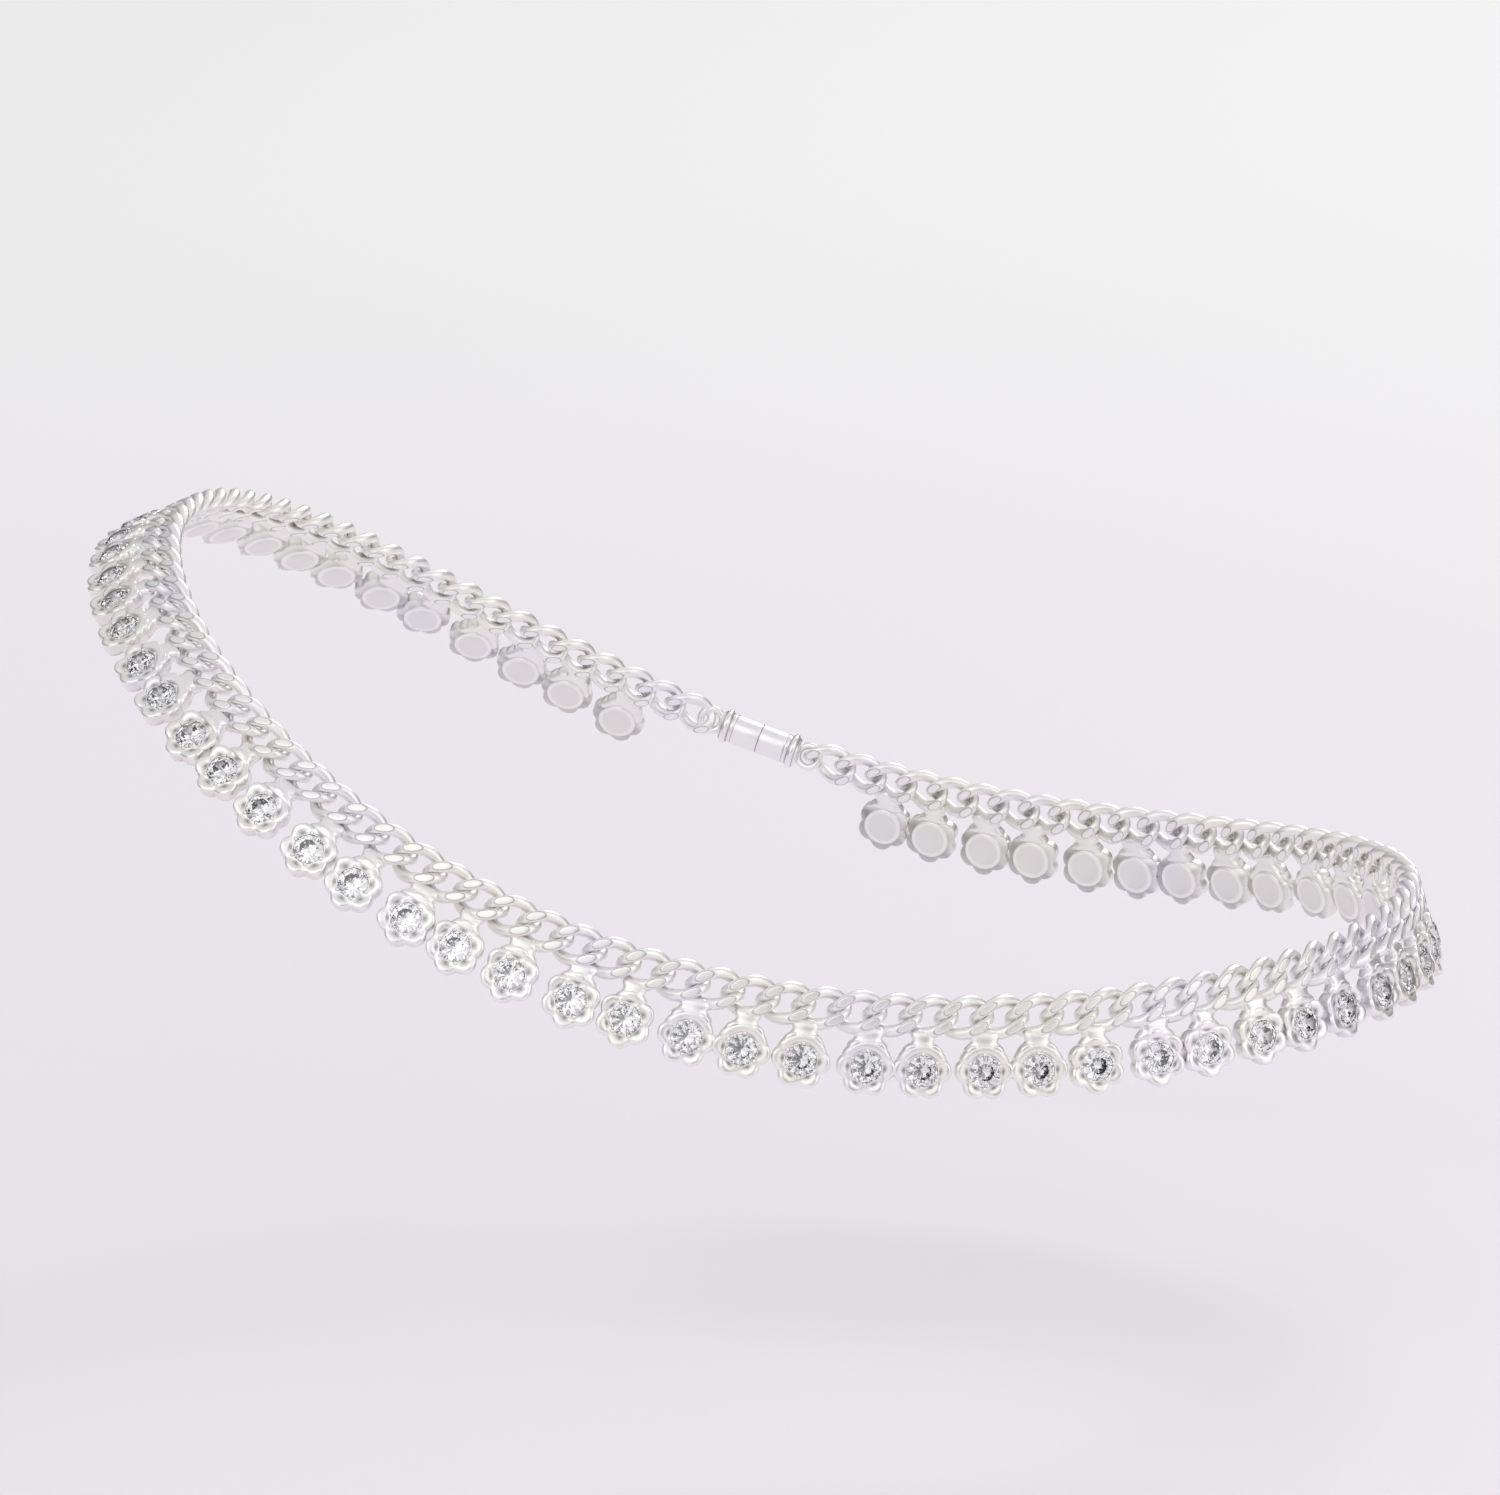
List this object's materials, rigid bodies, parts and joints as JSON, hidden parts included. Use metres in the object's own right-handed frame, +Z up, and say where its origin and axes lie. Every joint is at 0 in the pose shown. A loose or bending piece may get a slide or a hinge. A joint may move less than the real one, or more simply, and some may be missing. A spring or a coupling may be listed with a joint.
{
  "type": "payal anklet",
  "caption": "Silver payal anklet: a closed loop of fine curb chain with a row of six-petal flower settings, each with a round clear stone, along its lower edge.",
  "frame": {"origin": "middle of the ankle passage inside the loop, at the mean height of the chain", "axes": "+Z up the leg, +X back to the heel, +Y to the clasp's side of the ankle"},
  "size_m": [0.0977, 0.0741, 0.0342],
  "materials": {
    "silver": "whitened satin silver",
    "stone": "clear faceted, polished"
  },
  "bodies": {
    "root": {"chain_run_01": "silver", "chain_run_02": "silver", "chain_run_03": "silver", "chain_run_04": "silver", "chain_run_05": "silver", "chain_run_06": "silver", "chain_run_07": "silver", "chain_run_08": "silver", "chain_run_09": "silver", "chain_run_10": "silver", "chain_run_11": "silver", "chain_run_12": "silver", "chain_run_13": "silver", "stones_01": "stone", "stones_02": "stone", "stones_03": "stone", "stones_04": "stone", "stones_05": "stone", "stones_06": "stone", "stones_07": "stone", "stones_08": "stone", "stones_09": "stone", "stones_10": "stone", "stones_11": "stone", "stones_12": "stone", "stones_13": "stone", "clasp": "silver"}
  },
  "joints": []
}
